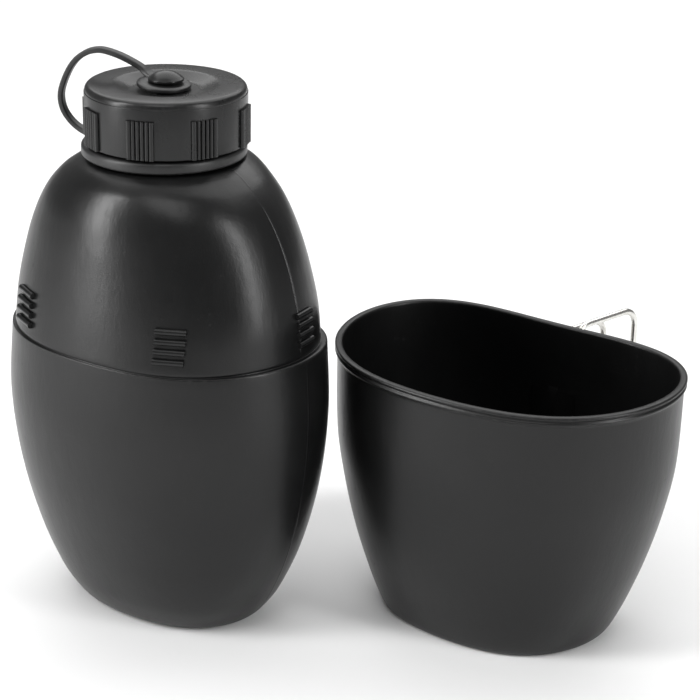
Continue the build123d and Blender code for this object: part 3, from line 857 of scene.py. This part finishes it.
# Each loop's hinge beside the mug's middle, the way that it stands out, and its half height.
LOOPS = {
    "outer": (HINGE_X, radians(75.8), 31.0 * MM),
    "inner": (-HINGE_X, radians(78.0), 23.5 * MM),
}


def wire_tree():
    former = Former("drawn_wire", Radius=WIRE_RADIUS, Sides=20)
    circle = former.node("GeometryNodeCurvePrimitiveCircle", {"mode": "RADIUS"}, {
        "Resolution": former.size("Sides"), "Radius": former.size("Radius")})
    line = former.node("GeometryNodeMeshToCurve", None, {"Mesh": former.start})
    tube = former.node("GeometryNodeCurveToMesh", None, {
        "Curve": line, "Profile Curve": circle, "Fill Caps": True})
    former.end(tube, wire_steel)
    return former


wire_former = wire_tree()
for name, (x, angle, half) in LOOPS.items():
    route = filleted([
        (0, 0.5 * MM), (0, half, NEAR_BEND), (HANDLE_REACH, half, FAR_BEND), (HANDLE_REACH, -half, FAR_BEND),
        (0, -half, NEAR_BEND), (0, -0.5 * MM)], 12)
    hinge = MUG + Vector((x, HINGE_Y, HANDLE_Z))
    path = [hinge + Vector((cos(angle) * a, sin(angle) * a, b)) for a, b in route]
    line = bpy.data.meshes.new(name)
    line.from_pydata(path, [(i, i + 1) for i in range(len(path) - 1)], [])
    loop = wire_former.formed("handle_wire_" + name, placed(name + "_line", line))
    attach(loop, "handle_" + name)
    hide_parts("handle_loop_" + name)

# ---- CAD nodes that stay -------------------------------------------------------------------------
for node, material in (
        ("cap_liner", seal), ("handle_bracket", bracket_steel), ("handle_rivets", bracket_steel)):
    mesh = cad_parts[node].data
    for place in range(len(mesh.materials)):
        mesh.materials[place] = material

# ---- floor, lights and camera --------------------------------------------------------------------
floor_finish = Finish("pale_floor")
floor_finish.done(Base_Color=(0.92, 0.92, 0.92, 1), Roughness=0.8, Specular_IOR_Level=0.1)
bpy.ops.mesh.primitive_plane_add(size=12)
floor = bpy.context.object
floor.name = "floor"
floor.data.materials.append(floor_finish.material)

world = bpy.data.worlds.new("studio")
scene.world = world
world.use_nodes = True
world.node_tree.nodes["Background"].inputs["Color"].default_value = (1, 1, 1, 1)
world.node_tree.nodes["Background"].inputs["Strength"].default_value = 0.2


def softbox(name, place, aim, size, power):
    """A rectangular soft light at a place, turned towards a point."""
    light = bpy.data.lights.new(name, "AREA")
    light.shape = "RECTANGLE"
    light.size, light.size_y = size
    light.energy = power
    item = bpy.data.objects.new(name, light)
    scene.collection.objects.link(item)
    item.location = place
    item.rotation_euler = (Vector(aim) - Vector(place)).to_track_quat("-Z", "Y").to_euler()


AIM = (0.05, 0.03, 0.08)
softbox("back_overhead", (-0.4, 0.85, 1.2), (-0.25, 0.6, 0), (1.9, 1.9), 22)
softbox("front_overhead", (0.25, -0.55, 1.15), (0.15, -0.25, 0), (0.6, 0.6), 3)
softbox("left_bank", (-0.62, -0.92, 0.6), AIM, (0.2, 1.2), 15)
softbox("right_bank", (1.3, 0.02, 0.6), AIM, (0.2, 1.2), 10)

camera = bpy.data.objects.new("camera", bpy.data.cameras.new("camera"))
scene.collection.objects.link(camera)
scene.camera = camera
camera.data.sensor_width = 36
camera.data.lens = 106.81
camera.location = (0.4643, -0.5636, 0.3962)
CAMERA_WAY = Vector((-0.5597, 0.8287, 0))
CAMERA_DOWN = 0.3815
CAMERA_ROLL = 0.02205
look = CAMERA_WAY * cos(CAMERA_DOWN) - Vector((0, 0, sin(CAMERA_DOWN)))
turn = look.to_track_quat("-Z", "Y").to_matrix() @ Matrix.Rotation(CAMERA_ROLL, 3, "Z")
camera.rotation_euler = turn.to_euler()
scene.view_settings.view_transform = "Standard"
